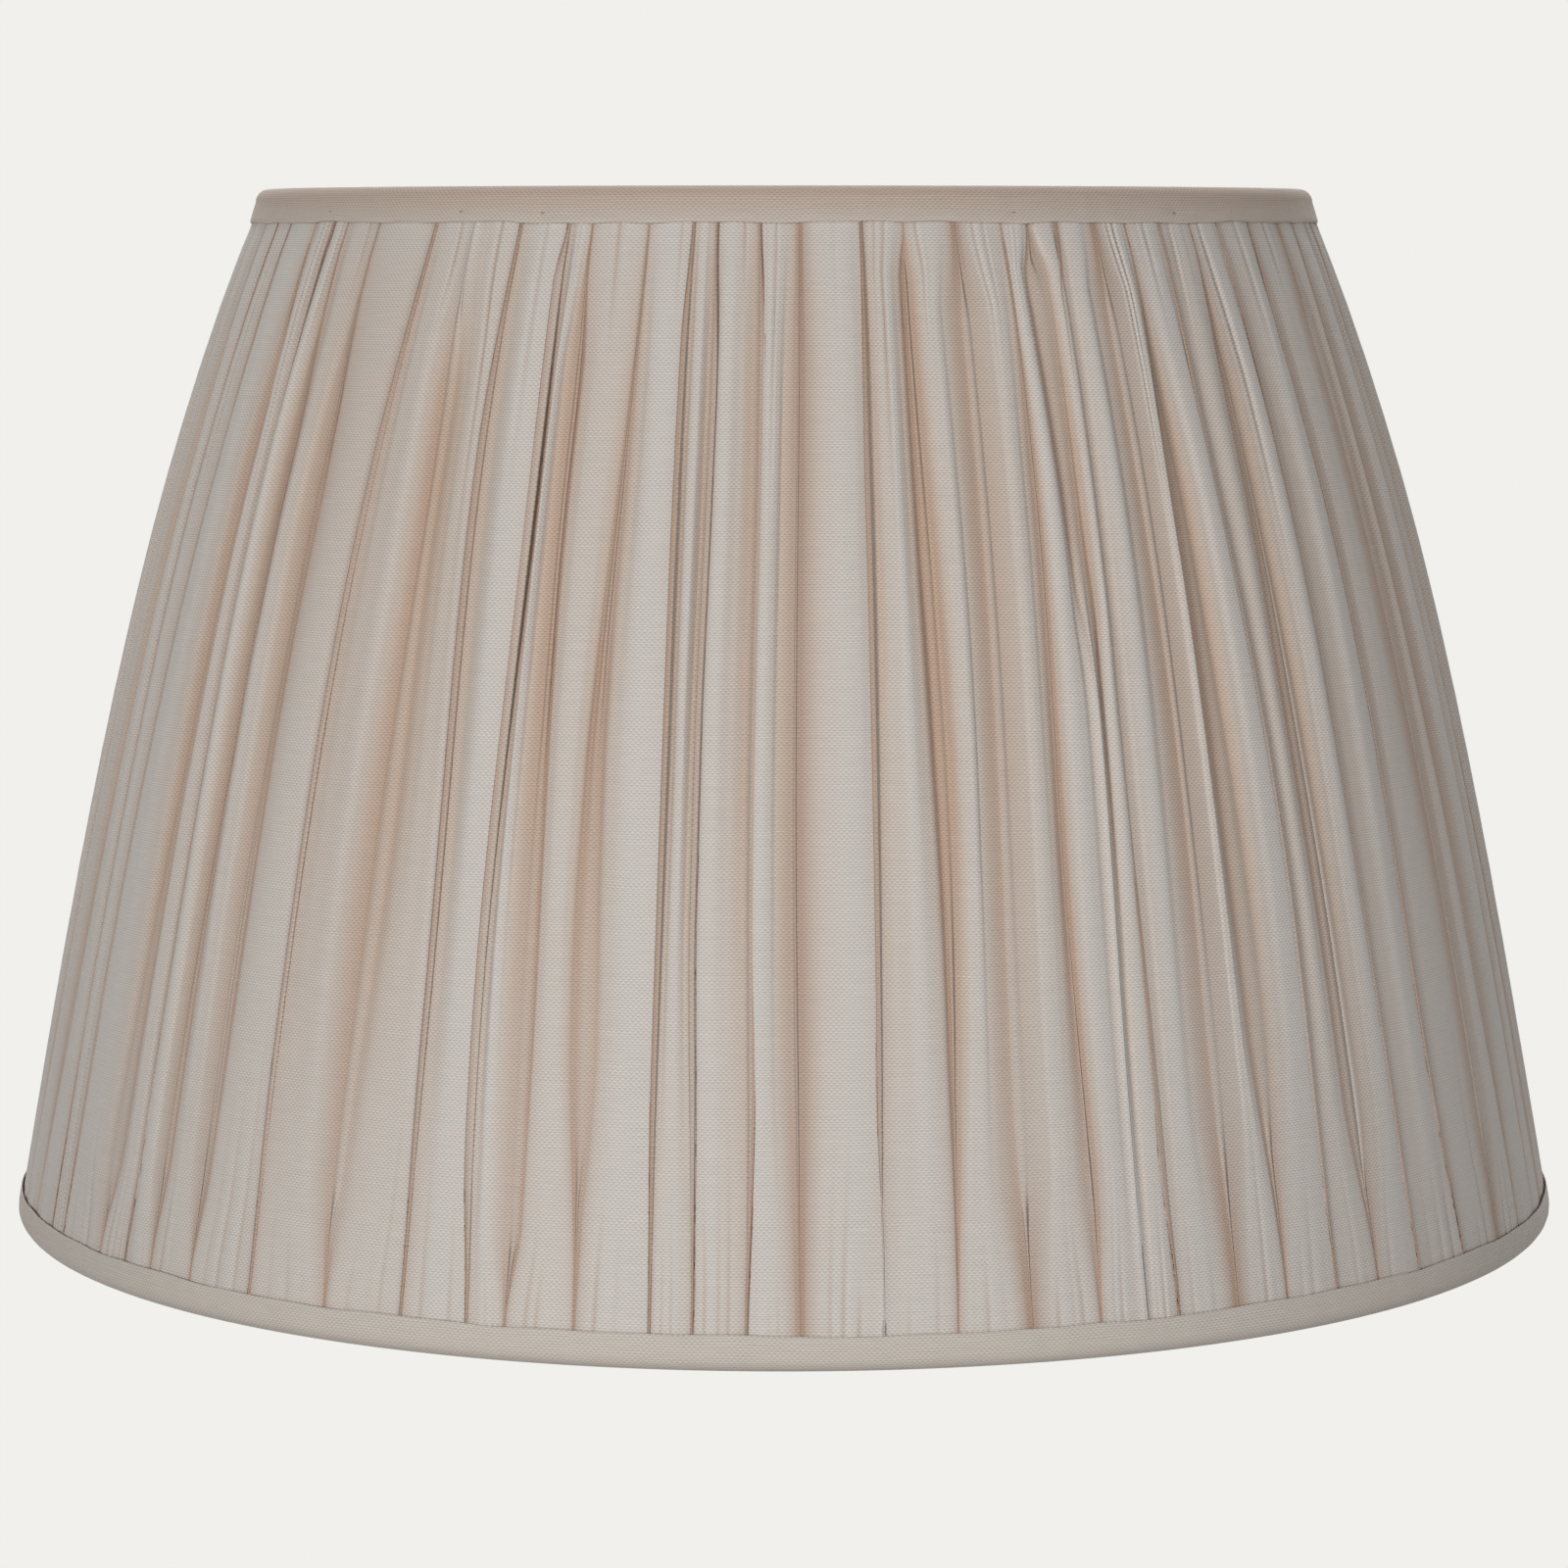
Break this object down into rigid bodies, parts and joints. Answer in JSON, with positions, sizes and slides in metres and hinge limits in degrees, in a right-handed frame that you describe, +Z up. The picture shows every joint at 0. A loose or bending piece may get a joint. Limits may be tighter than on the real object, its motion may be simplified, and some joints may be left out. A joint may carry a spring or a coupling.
{
  "type": "lamp shade",
  "caption": "Gathered cloth empire lamp shade on a bowed wire frame, lined, with self-cloth trims and a reversible gimbal for table lamp or pendant.",
  "frame": {"origin": "centre of the bottom rim, on the plane that the shade stands on", "axes": "+Z up, from the wide rim to the narrow rim; X along the two gimbal pivots; -Y is the front"},
  "size_m": [0.4589, 0.459, 0.3027],
  "materials": {
    "cover_cloth": "slubbed plain weave, oyster, gathered",
    "trim_cloth": "bias strip of the cover's cloth, folded and pressed",
    "lining_cloth": "satin-backed lining, stretched taut",
    "binding_tape": "cotton binding tape, matt",
    "white_wire": "white powder coat on steel",
    "rivet_steel": "zinc plated",
    "reducer_plastic": "moulded, white"
  },
  "bodies": {
    "shade": {"top_ring": "white_wire", "bottom_ring": "white_wire", "strut_1": "white_wire", "strut_2": "white_wire", "strut_3": "white_wire", "strut_4": "white_wire", "strut_5": "white_wire", "strut_6": "white_wire", "strut_7": "white_wire", "strut_8": "white_wire", "top_ring_tape": "binding_tape", "bottom_ring_tape": "binding_tape", "strut_tape_2": "binding_tape", "strut_tape_4": "binding_tape", "strut_tape_6": "binding_tape", "strut_tape_8": "binding_tape", "lining_front": "lining_cloth", "lining_back": "lining_cloth", "cover_front": "cover_cloth", "cover_right": "cover_cloth", "cover_back": "cover_cloth", "cover_left": "cover_cloth", "top_trim": "trim_cloth", "bottom_trim": "trim_cloth", "neatening_strip_right": "lining_cloth", "neatening_strip_left": "lining_cloth", "hanger_right": "white_wire", "hanger_left": "white_wire", "pivot_rivet_right": "rivet_steel", "pivot_rivet_left": "rivet_steel"},
    "gimbal": {"carrier_arm_right": "white_wire", "carrier_arm_left": "white_wire", "fitter_ring": "white_wire", "reducer_ring": "reducer_plastic"}
  },
  "joints": [
    {"name": "gimbal_flip", "type": "hinge", "parent": "shade", "child": "gimbal", "pos_m": [0, 0, 0.27272], "axis": [1, 0, 0], "continuous": true}
  ]
}
